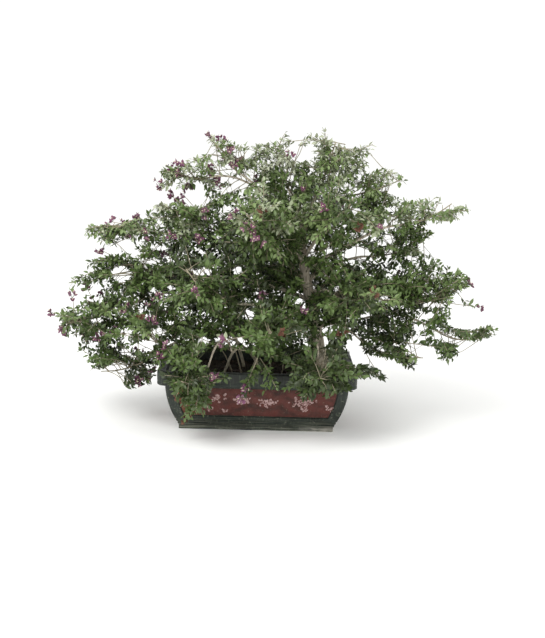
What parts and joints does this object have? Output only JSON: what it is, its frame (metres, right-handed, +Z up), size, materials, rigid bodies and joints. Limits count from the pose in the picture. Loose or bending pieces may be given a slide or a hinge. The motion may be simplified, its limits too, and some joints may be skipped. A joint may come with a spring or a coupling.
{
  "type": "bougainvillea bonsai",
  "caption": "Wide spreading flowering bonsai with a leaning trunk and thin stems, planted in a rectangular glazed pot that stands on its flat foot.",
  "frame": {"origin": "middle of the pot's flat underside, which stands on the ground", "axes": "+Z up, +X along the pot's long side towards the side where the trunk stands, -Y the front of the tree"},
  "size_m": [1.7849, 1.0352, 1.1674],
  "materials": {
    "glazed_stoneware": "satin",
    "potting_soil": "matte",
    "bark": "matte",
    "foliage": "matte"
  },
  "bodies": {
    "root": {"bough_back_centre": "bark", "bough_back_low": "bark", "bough_back_right": "bark", "bough_back_upper": "bark", "bough_centre_front": "bark", "bough_far_left": "bark", "bough_far_right_low": "bark", "bough_front_left_drape": "bark", "bough_front_right_drape": "bark", "bough_left_bottom": "bark", "bough_left_middle": "bark", "bough_left_spray": "bark", "bough_right_centre_front": "bark", "bough_right_low": "bark", "bough_right_middle": "bark", "bough_right_outer": "bark", "bough_right_spray": "bark", "bough_top_centre": "bark", "bough_top_left": "bark", "bough_top_left_spray": "bark", "bough_top_right": "bark", "bough_upper_left": "bark", "bough_upper_right": "bark", "bough_upper_right_front": "bark", "foliage_back_centre": "foliage", "foliage_back_left": "foliage", "foliage_back_low": "foliage", "foliage_back_right": "foliage", "foliage_back_upper": "foliage", "foliage_centre_front": "foliage", "foliage_centre_left_front": "foliage", "foliage_far_left": "foliage", "foliage_far_right_low": "foliage", "foliage_front_centre": "foliage", "foliage_front_left_drape": "foliage", "foliage_front_right_drape": "foliage", "foliage_left_bottom": "foliage", "foliage_left_low": "foliage", "foliage_left_middle": "foliage", "foliage_left_spray": "foliage", "foliage_right_centre_front": "foliage", "foliage_right_low": "foliage", "foliage_right_middle": "foliage", "foliage_right_outer": "foliage", "foliage_right_spray": "foliage", "foliage_top_centre": "foliage", "foliage_top_left": "foliage", "foliage_top_left_spray": "foliage", "foliage_top_right": "foliage", "foliage_upper_left": "foliage", "foliage_upper_right": "foliage", "foliage_upper_right_front": "foliage", "pot": "glazed_stoneware", "soil": "potting_soil", "stem_behind": "bark", "stem_leaning_left": "bark", "stem_leaning_right": "bark", "stem_right": "bark", "trunk": "bark"}
  },
  "joints": []
}
